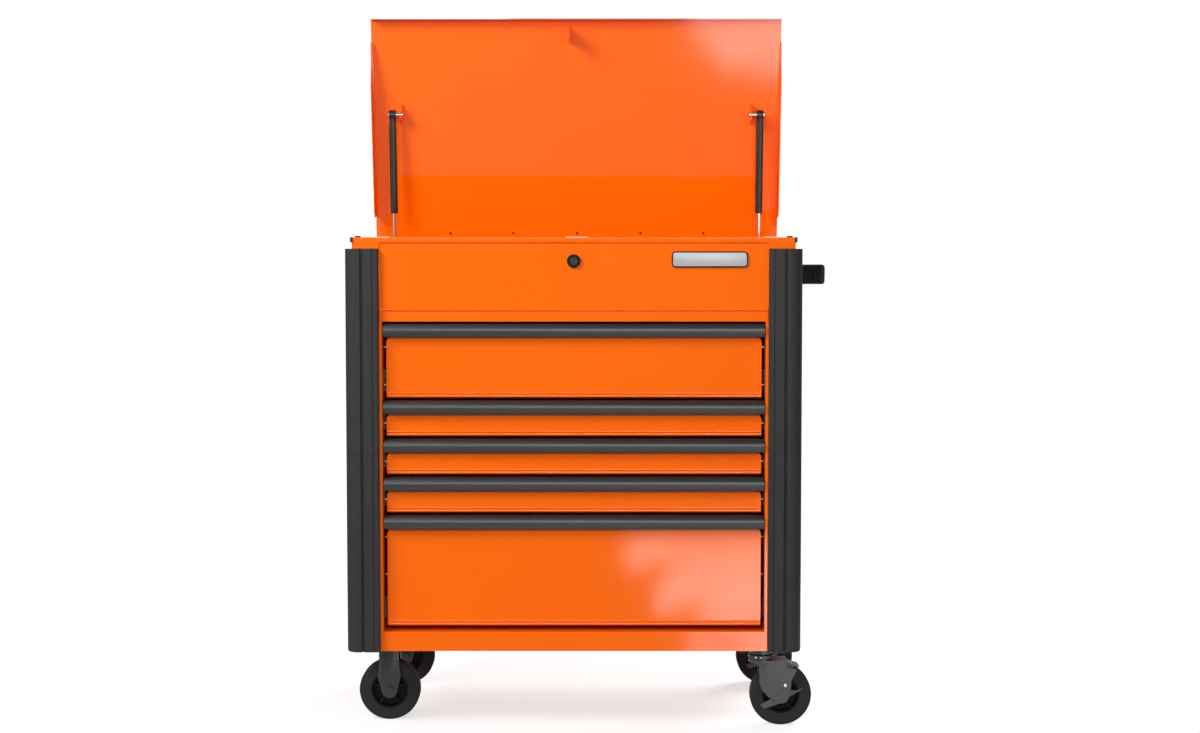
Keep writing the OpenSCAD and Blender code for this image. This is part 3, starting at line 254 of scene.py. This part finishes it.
def smooth_shading():
    """A tree that joins a solid's loose triangles, and smooths all but its sharp edges."""
    tree = bpy.data.node_groups.new("Smooth by angle", "GeometryNodeTree")
    tree.interface.new_socket("Geometry", in_out="INPUT", socket_type="NodeSocketGeometry")
    tree.interface.new_socket("Sharp above", in_out="INPUT", socket_type="NodeSocketFloat")
    tree.interface.new_socket("Geometry", in_out="OUTPUT", socket_type="NodeSocketGeometry")
    given = add(tree, "NodeGroupInput").outputs
    joined = add(tree, "GeometryNodeMergeByDistance", {"Geometry": given["Geometry"], "Distance": WELD})
    soft = add(tree, "GeometryNodeSetShadeSmooth", {"Geometry": joined, "Shade Smooth": True}, domain="FACE")
    angle = add(tree, "GeometryNodeInputMeshEdgeAngle").outputs["Unsigned Angle"]
    sharp = add(tree, "FunctionNodeCompare", {0: angle, 1: given["Sharp above"]}, operation="GREATER_THAN",
                data_type="FLOAT")
    shaded = add(tree, "GeometryNodeSetShadeSmooth",
                 {"Geometry": soft, "Selection": sharp, "Shade Smooth": False}, domain="EDGE")
    add(tree, "NodeGroupOutput", {"Geometry": shaded})
    return tree


smoothing = smooth_shading()
sharp_above = next(item.identifier for item in smoothing.interface.items_tree if item.name == "Sharp above")
for cad_node in nodes.values():
    modifier = cad_node.modifiers.new("Smooth by angle", "NODES")
    modifier.node_group = smoothing
    modifier[sharp_above] = SHARP_ANGLE
    weighted = cad_node.modifiers.new("Weighted normals", "WEIGHTED_NORMAL")
    weighted.keep_sharp = True


def face_outwards(mesh):
    """Joins a closed mesh's doubles and turns its faces outwards."""
    build = bmesh.new()
    build.from_mesh(mesh)
    bmesh.ops.remove_doubles(build, verts=build.verts, dist=WELD)
    bmesh.ops.recalc_face_normals(build, faces=build.faces)
    build.to_mesh(mesh)
    build.free()


def put(name, mesh, body, finish=None):
    """Makes a mesh a piece that rides on a body; finish is set unless the mesh has its own."""
    if finish:
        mesh.materials.append(finish)
    mesh.shade_smooth()
    mesh.set_sharp_from_angle(angle=SHARP_ANGLE)
    piece = bpy.data.objects.new(name, mesh)
    scene.collection.objects.link(piece)
    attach(piece, body)


def turned_tree(name, steps):
    """A tree that stands a turned shape on every point, along the point's own facing. Each step raises
    the shape's end by a share of its height and then narrows or widens it."""
    tree = bpy.data.node_groups.new(name, "GeometryNodeTree")
    for label, kind in (("Geometry", "Geometry"), ("Sides", "Int"), ("Radius", "Float"), ("Height", "Float"),
                        ("Finish", "Material")):
        tree.interface.new_socket(label, in_out="INPUT", socket_type="NodeSocket" + kind)
    tree.interface.new_socket("Geometry", in_out="OUTPUT", socket_type="NodeSocketGeometry")
    given = add(tree, "NodeGroupInput").outputs
    foot = add(tree, "GeometryNodeMeshCircle", {"Vertices": given["Sides"], "Radius": given["Radius"]},
               fill_type="NGON").outputs["Mesh"]
    shape, end = foot, True
    for lift, spread in steps:
        rise = add(tree, "ShaderNodeMath", {0: given["Height"], 1: lift}, operation="MULTIPLY")
        raised = add(tree, "GeometryNodeExtrudeMesh",
                     {"Mesh": shape, "Selection": end, "Offset": (0, 0, 1), "Offset Scale": rise,
                      "Individual": False}, mode="FACES").outputs
        end = raised["Top"]
        shape = add(tree, "GeometryNodeScaleElements",
                    {"Geometry": raised["Mesh"], "Selection": end, "Scale": spread}, domain="FACE").outputs[0]
    whole = add(tree, "GeometryNodeJoinGeometry")
    for shell in (shape, foot):
        tree.links.new(shell, whole.inputs[0])
    facing = add(tree, "GeometryNodeInputNamedAttribute", {"Name": "facing"}, data_type="FLOAT_VECTOR")
    turned = add(tree, "FunctionNodeAlignRotationToVector", {"Vector": facing.outputs["Attribute"]}, axis="Z")
    placed = add(tree, "GeometryNodeInstanceOnPoints",
                 {"Points": given["Geometry"], "Instance": whole, "Rotation": turned.outputs["Rotation"]})
    real = add(tree, "GeometryNodeRealizeInstances", {"Geometry": placed})
    finished = add(tree, "GeometryNodeSetMaterial", {"Geometry": real, "Material": given["Finish"]})
    add(tree, "NodeGroupOutput", {"Geometry": finished})
    return tree


def stand(name, tree, points, values, body):
    """Runs a tree on points, each a place and a facing, and keeps the outcome as one plain piece."""
    mesh = bpy.data.meshes.new(name + "_points")
    mesh.from_pydata([place for place, _ in points], [], [])
    facing = mesh.attributes.new("facing", "FLOAT_VECTOR", "POINT")
    for i, (_, way) in enumerate(points):
        facing.data[i].vector = way
    carrier = bpy.data.objects.new(name + "_points", mesh)
    scene.collection.objects.link(carrier)
    modifier = carrier.modifiers.new(tree.name, "NODES")
    modifier.node_group = tree
    for item in tree.interface.items_tree:
        if item.in_out == "INPUT" and item.name in values:
            modifier[item.identifier] = values[item.name]
    made = bpy.data.meshes.new_from_object(carrier.evaluated_get(bpy.context.evaluated_depsgraph_get()))
    carrier.modifiers.remove(modifier)
    bpy.data.objects.remove(carrier)
    bpy.data.meshes.remove(mesh)
    face_outwards(made)
    put(name, made, body)


def loft(loops, closed=False):
    """A mesh over equal loops of points; its two ends are capped, or joined where it is closed."""
    count = len(loops[0])
    faces = []
    for i in range(len(loops) if closed else len(loops) - 1):
        here = i * count
        there = (i + 1) % len(loops) * count
        for j in range(count):
            k = (j + 1) % count
            faces.append((here + j, here + k, there + k, there + j))
    if not closed:
        faces += [tuple(range(count)), tuple(range((len(loops) - 1) * count, len(loops) * count))]
    mesh = bpy.data.meshes.new("loft")
    mesh.from_pydata([point for loop in loops for point in loop], [], faces)
    face_outwards(mesh)
    return mesh


def ring(centre, profile, count=48):
    """A ring about an upright axis: profile is a closed line of (radius, height) in millimetres."""
    loops = []
    for i in range(count):
        turn = 2 * math.pi * i / count
        loops.append([centre + Vector((r * math.cos(turn), r * math.sin(turn), z)) * MM for r, z in profile])
    return loft(loops, closed=True)


def rounded(width, height, corner, per_corner=8):
    """A rectangle with rounded corners about its middle, as (right, up)."""
    points = []
    for i, (sx, sz) in enumerate(((1, 1), (-1, 1), (-1, -1), (1, -1))):
        for j in range(per_corner + 1):
            turn = math.pi / 2 * (i + j / per_corner)
            points.append((sx * (width / 2 - corner) + corner * math.cos(turn),
                           sz * (height / 2 - corner) + corner * math.sin(turn)))
    return points


# The lid's own directions: up along the raised sheet, and out of its inner face
LID_TURN = math.radians(79.7)
HINGE = at(0, 480, 998)
ALONG_LID = Vector((0, -math.cos(LID_TURN), math.sin(LID_TURN)))
OUT_OF_LID = Vector((0, -math.sin(LID_TURN), -math.cos(LID_TURN)))

# The swivel casters, in millimetres: each one's depth, and the places of their axes and axles
SWIVELS = (("front", 54), ("rear", 430))
SWIVEL_X = 382
SWIVEL_TRAIL = 39
AXLE_X = SWIVEL_X + SWIVEL_TRAIL
AXLE_Z = 62.5

# Blind rivets that hold the lid to its hinge leaves, each with a pit where its mandrel broke off; they are
# black as painted shade for the rivet holes
RIVET_RISE = 13.1
blind_rivet = turned_tree("Blind rivets", ((0.35, 1.0), (0.4, 0.85), (0.25, 0.62), (0.0, 0.55), (-0.5, 1.0)))
rivet_points = []
for x, seat in ((0, 2.0), (143, 3.2), (284, 3.2), (411.1, 3.2)):
    for side in ((1, -1) if x else (1,)):
        rivet_points.append((HINGE + Vector((side * x * MM, 0, 0)) + ALONG_LID * RIVET_RISE * MM
                             + OUT_OF_LID * seat * MM, OUT_OF_LID))
stand("lid_hinge_rivets", blind_rivet, rivet_points,
      {"Sides": 20, "Radius": 2.4 * MM, "Height": 1.8 * MM, "Finish": dark_bolts_and_rivet_shade}, "lid")

# Bright rivet heads on the brake pivots, on the near face of each fork
FORK_FACE = 25.2
PIVOT_X = AXLE_X + 8
PIVOT_Z = AXLE_Z + 22
for name, y in SWIVELS:
    stand(name + "_brake_rivet", blind_rivet,
          [(at(PIVOT_X, y - FORK_FACE, PIVOT_Z), Vector((0, -1, 0)))],
          {"Sides": 24, "Radius": 3.7 * MM, "Height": 2.4 * MM, "Finish": finishes["bright_steel"]},
          name + "_swivel")

# Ribs across the brake treads, so that a shoe doesn't slip; they follow the tread down its slope
TREAD_HALF = 18.6
TREAD_X = AXLE_X + 14
TREAD_Z = AXLE_Z + 66.1
TREAD_RUN = 23
TREAD_FALL = 6.4
rib_bar = turned_tree("Tread ribs", ((0.02, 1.5), (0.96, 1.0), (0.02, 0.67)))
for name, y in SWIVELS:
    ribs = [(at(TREAD_X + TREAD_RUN * share, y - TREAD_HALF, TREAD_Z - TREAD_FALL * share), Vector((0, 1, 0)))
            for share in (0.1, 0.36, 0.62, 0.88)]
    stand(name + "_tread_ribs", rib_bar, ribs,
          {"Sides": 12, "Radius": 0.75 * MM, "Height": 2 * TREAD_HALF * MM, "Finish": tread_steel},
          name + "_brake")

# Screws that hold each drawer's runners, seen when the drawer is out
RUNNER_FACE = 371.7
DRAWERS = range(1, 6)
pan_head = turned_tree("Pan-head screws", ((0.5, 1.0), (0.3, 0.92), (0.2, 0.78), (0.0, 0.5), (-0.45, 0.8)))
for n in DRAWERS:
    low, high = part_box("drawer_%d_runners" % n)
    middle = (low + high) / 2
    screws = []
    for side in (1, -1):
        for share in (0.12, 0.5, 0.88):
            screws.append((Vector((MIDDLE_X + side * RUNNER_FACE * MM, low.y + share * (high.y - low.y),
                                   middle.z)), Vector((side, 0, 0))))
    stand("drawer_%d_runner_screws" % n, pan_head, screws,
          {"Sides": 18, "Radius": 4.5 * MM, "Height": 2.2 * MM, "Finish": finishes["bright_steel"]},
          "drawer_%d" % n)

# Clips that hold each drawer front to its tray, at the front's side edges, in a near-white matt coat that is
# painted highlight for their glints
CLIP_FACE = 376.3
CLIP_BACK = 7
CLIP_RISES = {1: (27, 103), 2: (27,), 3: (27,), 4: (27,), 5: (105, 181)}
clip = turned_tree("Front clips", ((0.6, 1.0), (0.4, 0.7)))
for n in DRAWERS:
    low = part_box("drawer_%d_tray" % n)[0]
    clips = [(Vector((MIDDLE_X + side * CLIP_FACE * MM, low.y + CLIP_BACK * MM, low.z + rise * MM)),
              Vector((side, 0, 0))) for side in (1, -1) for rise in CLIP_RISES[n]]
    stand("drawer_%d_front_clips" % n, clip, clips,
          {"Sides": 16, "Radius": 1.5 * MM, "Height": 5.4 * MM, "Finish": clip_glint_white},
          "drawer_%d" % n)

# A double bead along each drawer front's lower edge, whose rounds draw two pale lines. Its section is
# (up, out) from the front's lower edge: two half ovals, and a back that lies in the sheet
BEAD_HALF = 375.5
OVAL_STEPS = 8
bead = []
for centre, tall, proud in ((5.0, 2.6, 1.8), (10.4, 1.8, 1.2)):
    for i in range(OVAL_STEPS + 1):
        turn = math.pi * (i / OVAL_STEPS - 0.5)
        bead.append((centre + tall * math.sin(turn), proud * math.cos(turn)))
bead += [(12.2, -0.4), (7.6, -0.4), (2.4, -2.6)]
for n in DRAWERS:
    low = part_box("drawer_%d_tray" % n)[0]
    put("drawer_%d_front_bead" % n,
        loft([[Vector((MIDDLE_X + x * MM, low.y - out * MM, low.z + up * MM)) for up, out in bead]
              for x in (-BEAD_HALF, BEAD_HALF)]),
        "drawer_%d" % n, finishes["orange_paint"])

# Dust rings over the swivels' ball races, and two bright balls that show in each race's gap
RACE_SECTION = ((22.6, 138), (26.4, 138), (27, 138.8), (27, 144.6), (26.4, 145.4), (25.2, 145.4),
                (24.6, 144.6), (24.6, 141), (22.6, 140.4))
BALL_PATH = 26.6
BALL_Z = 141.6
ball_turns = [math.radians(degrees) for degrees in (-28.8, -6.4)]
ball_ways = [Vector((math.sin(turn), -math.cos(turn), 0)) for turn in ball_turns]
for name, y in SWIVELS:
    put(name + "_swivel_ring", ring(at(SWIVEL_X, y, 0), RACE_SECTION), name + "_swivel",
        finishes["zinc_steel"])
    stand(name + "_swivel_balls", blind_rivet,
          [(at(SWIVEL_X, y, BALL_Z) + way * BALL_PATH * MM, way) for way in ball_ways],
          {"Sides": 20, "Radius": 2.2 * MM, "Height": 1.8 * MM, "Finish": finishes["bright_steel"]},
          name + "_swivel")

# A blank plate on the fascia: a satin face in a dark raised edge
PLATE = at(271.5, 0.8, 949)


def plate_loop(width, height, corner, forward):
    """A loop around the plate's middle, at a distance in front of the fascia."""
    return [PLATE + Vector((right, -forward, up)) * MM for right, up in rounded(width, height, corner)]


put("fascia_plate_edge",
    loft([plate_loop(152, 32, 8, -0.1), plate_loop(152, 32, 8, 0.9), plate_loop(151, 31, 7.5, 1.3),
          plate_loop(148, 28, 6, 1.3), plate_loop(147.4, 27.4, 5.7, 1.0)]),
    "cabinet", finishes["lock_black"])
put("fascia_plate_face",
    loft([plate_loop(147.2, 27.2, 5.6, 0.4), plate_loop(147.2, 27.2, 5.6, 1.2),
          plate_loop(146.4, 26.4, 5.2, 1.4)]),
    "cabinet", brushed_plate())

# The rounded edge of the fold that parts the fascia from the rail strip: a half round, with its back
# in the sheet
FOLD_Z = 848.3
FOLD_Y = 1.65
FOLD_RADIUS = 1.0
FOLD_BACK = -0.3
FOLD_HALF = 387
FOLD_STEPS = 10
fold_section = []
for i in range(FOLD_STEPS + 1):
    turn = math.pi * i / FOLD_STEPS
    fold_section.append((FOLD_RADIUS * math.cos(turn), FOLD_RADIUS * math.sin(turn)))
fold_section += [(-FOLD_RADIUS, FOLD_BACK), (FOLD_RADIUS, FOLD_BACK)]
put("fascia_fold_edge",
    loft([[at(x, FOLD_Y - out, FOLD_Z + up) for up, out in fold_section] for x in (-FOLD_HALF, FOLD_HALF)]),
    "cabinet", finishes["orange_paint"])

# A rim around each end of the push handle, as its mould left it. Its section is (wider, forward) from
# the line it follows
HANDLE_X = 471.5
HANDLE_Z = 919
RIM_SECTION = ((-1.3, -0.6), (-1.3, 0.3), (-0.7, 1.1), (0.7, 1.1), (1.3, 0.3), (1.3, -0.6))
for name, y, way in (("front", 78, -1), ("rear", 408, 1)):
    rim_loops = []
    for right, up in rounded(52, 36, 6, 6):
        length = math.hypot(right, up)
        rim_loops.append([at(HANDLE_X + right * (1 + wider / length), y + way * forward,
                             HANDLE_Z + up * (1 + wider / length)) for wider, forward in RIM_SECTION])
    put("handle_rim_" + name, loft(rim_loops, closed=True), "cabinet",
        finishes["handle_plastic"])

# Dark end caps in the front hem, one at each end of the rim, put in as painted shade for the hem's hollow
# ends; the outer end is drawn in a little
HEM_SECTION = ((-2.2, 982.8), (3.2, 982.8), (3.2, 991.2), (2.8, 992.6), (1.4, 993.2), (-0.4, 993.2),
               (-1.8, 992.6), (-2.2, 991.2))
HEM_Y = 0.5
HEM_Z = 988
for name, side in (("left", -1), ("right", 1)):
    put("rim_hem_shade_plug_" + name,
        loft([[at(side * x, HEM_Y + (y - HEM_Y) * size, HEM_Z + (z - HEM_Z) * size) for y, z in HEM_SECTION]
              for x, size in ((440.2, 1.0), (445.0, 1.0), (445.6, 0.9))]),
        "cabinet", finishes["bumper_plastic"])


def studio_world():
    """White to the camera and an even fill on the object. Reflections show a dim room with panels of
    light: a tall screen on each side, a paler floor with a pool on it, and two wisps low on the right."""
    world = bpy.data.worlds.new("Studio")
    scene.world = world
    world.use_nodes = True
    tree = world.node_tree
    tree.nodes.clear()
    ray = add(tree, "ShaderNodeLightPath").outputs
    direction = add(tree, "ShaderNodeTexCoord").outputs["Generated"]
    parts = add(tree, "ShaderNodeSeparateXYZ", {"Vector": direction}).outputs
    # A direction as seen from the cart's front: its bearing, and how far it goes across and up on its way
    ahead = add(tree, "ShaderNodeMath", {0: parts["Y"], 1: -1.0}, operation="MULTIPLY")
    depth = add(tree, "ShaderNodeMath", {0: ahead, 1: 0.05}, operation="MAXIMUM")
    across = add(tree, "ShaderNodeMath", {0: parts["X"], 1: depth}, operation="DIVIDE")
    rise = add(tree, "ShaderNodeMath", {0: parts["Z"], 1: depth}, operation="DIVIDE")
    bearing = add(tree, "ShaderNodeMath", {0: parts["X"], 1: depth}, operation="ARCTAN2")

    # Each panel is its strength, and its soft edges as (measure, where it is dark, where it is lit)
    left_screen = (1.2, ((bearing, -1.4, -1.2), (bearing, -0.7, -0.85)))
    right_screen = (0.5, ((bearing, 1.4, 1.2), (bearing, 0.7, 0.85)))
    floor = (0.35, ((rise, -0.205, -0.228), (parts["Y"], -0.6, -0.9)))
    # The pool of light is stronger to the right, and the rolled edges pick it up
    pool = (1.0, ((across, -0.12, 0.12), (rise, -0.34, -0.38), (rise, -1.3, -1.1)))
    panels = [left_screen, right_screen, floor, pool]

    # The wisps: a band of heights each, cut off on the left by a slanting edge that frays. The foot is
    # where that edge would meet the horizon
    plane = add(tree, "ShaderNodeCombineXYZ", {"X": across, "Y": rise})
    fray = add(tree, "ShaderNodeTexNoise", {"Vector": plane, "Scale": 48.0, "Detail": 3})
    shift = add(tree, "ShaderNodeMapRange", {"Value": fray, "From Min": 0.25, "From Max": 0.75,
                                             "To Min": -0.02, "To Max": 0.02},
                interpolation_type="SMOOTHSTEP")
    soft = 0.004
    edge = add(tree, "ShaderNodeMath", {0: across, 1: shift}, operation="ADD")
    for low, high, foot, slant, strength in ((-0.222, -0.148, -0.085, 0.69, 6.2),
                                             (-0.263, -0.226, -0.152, 0.85, 6.4)):
        lean = add(tree, "ShaderNodeMath", {0: rise, 1: slant}, operation="MULTIPLY")
        cut = add(tree, "ShaderNodeMath", {0: edge, 1: lean}, operation="ADD")
        patchy = add(tree, "ShaderNodeMapRange", {"Value": fray, "From Min": 0.35, "From Max": 0.65,
                                                  "To Min": 0.75 * strength, "To Max": 1.1 * strength},
                     interpolation_type="SMOOTHSTEP")
        panels.append((patchy, ((cut, foot - 0.003, foot + 0.006), (rise, low - soft, low + soft),
                                (rise, high + soft, high - soft), (parts["Y"], -0.5, -0.8))))

    # The room itself is dim, and a little paler behind the cart
    room = add(tree, "ShaderNodeMapRange", {"Value": parts["Y"], "From Min": -0.1, "From Max": 0.4,
                                            "To Min": 0.16, "To Max": 0.22},
               interpolation_type="SMOOTHSTEP")
    for strength, edges in panels:
        panel = strength
        for measure, dark, lit in edges:
            step = add(tree, "ShaderNodeMapRange", {"Value": measure, "From Min": dark, "From Max": lit},
                       interpolation_type="SMOOTHSTEP")
            panel = add(tree, "ShaderNodeMath", {0: panel, 1: step}, operation="MULTIPLY")
        room = add(tree, "ShaderNodeMath", {0: room, 1: panel}, operation="ADD")

    mirror = add(tree, "ShaderNodeMath", {0: ray["Is Glossy Ray"], 1: ray["Is Transmission Ray"]},
                 operation="MAXIMUM")
    fill = add(tree, "ShaderNodeMix", {"Factor": mirror, NUMBER_A: 0.25, NUMBER_B: room})
    seen = add(tree, "ShaderNodeMix", {"Factor": ray["Is Camera Ray"], NUMBER_A: fill, NUMBER_B: 1.0})
    light = add(tree, "ShaderNodeBackground", {"Color": linear("#FFFFFF"), "Strength": seen})
    add(tree, "ShaderNodeOutputWorld", {"Surface": light.outputs["Background"]})


studio_world()


def softbox(name, place, aim, width, height, watts):
    """A soft area lamp that looks at a point of the cart."""
    data = bpy.data.lights.new(name, "AREA")
    data.shape = "RECTANGLE"
    data.size = width
    data.size_y = height
    data.energy = watts
    lamp = bpy.data.objects.new(name, data)
    scene.collection.objects.link(lamp)
    lamp.location = place
    lamp.rotation_euler = (aim - place).to_track_quat("-Z", "Y").to_euler()
    lamp.visible_camera = False
    return lamp


FRONT_MIDDLE = at(0, 0, 700)
softbox("Key softbox", Vector((-2.26, -1.9, 2.76)), FRONT_MIDDLE, 1.4, 1.4, 102)
softbox("Front softbox", Vector((0.15, -3.9, 1.8)), FRONT_MIDDLE, 2.6, 0.6, 66)
# The back and the right-hand side get light too, without a glint on the front's edges
back_lamp = softbox("Back softbox", Vector((2.33, 2.33, 2.6)), at(0, 240, 700), 1.8, 1.8, 170)
back_lamp.visible_glossy = False


def pale_floor(radius, back, glow):
    """A plain pale floor that reads as white and keeps the cart's shadow."""
    material = bpy.data.materials.new("Pale studio floor")
    material.use_nodes = True
    tree = material.node_tree
    tree.nodes.clear()
    ray = add(tree, "ShaderNodeLightPath").outputs
    mirrored = add(tree, "ShaderNodeMath", {0: ray["Is Glossy Ray"], 1: ray["Is Transmission Ray"]},
                   operation="MAXIMUM")
    shown = add(tree, "ShaderNodeMath", {0: ray["Is Camera Ray"], 1: mirrored}, operation="MAXIMUM")
    lit = add(tree, "ShaderNodeMath", {0: shown, 1: glow}, operation="MULTIPLY")
    shader = add(tree, "ShaderNodeBsdfPrincipled",
                 {"Base Color": linear("#A8A8A8"), "Roughness": 0.9, "Specular IOR Level": 0.0,
                  "Emission Color": linear("#FFFFFF"), "Emission Strength": lit})
    add(tree, "ShaderNodeOutputMaterial", {"Surface": shader.outputs["BSDF"]})
    mesh = bpy.data.meshes.new("floor")
    count = 96
    turns = [2 * math.pi * i / count for i in range(count)]
    rim = [(radius * math.cos(turn), back + radius * math.sin(turn), 0) for turn in turns]
    mesh.from_pydata(rim, [], [list(range(count))])
    mesh.materials.append(material)
    floor = bpy.data.objects.new("floor", mesh)
    scene.collection.objects.link(floor)


pale_floor(radius=1.25, back=0.4, glow=0.66)

# The photograph's camera: 1850 pixels of focal length on an image 1200 wide, looking a little down
IMAGE_WIDTH = 1200
FOCAL_PIXELS = 1850
SENSOR_WIDTH = 36
LOOK_DOWN = 3.05
camera_data = bpy.data.cameras.new("Camera")
camera_data.sensor_fit = "HORIZONTAL"
camera_data.sensor_width = SENSOR_WIDTH
camera_data.lens = SENSOR_WIDTH * FOCAL_PIXELS / IMAGE_WIDTH
camera = bpy.data.objects.new("Camera", camera_data)
scene.collection.objects.link(camera)
camera.location = at(52.3, -3693, 932)
camera.rotation_euler = (math.radians(90 - LOOK_DOWN), 0, 0)
scene.camera = camera
scene.view_settings.view_transform = "Standard"
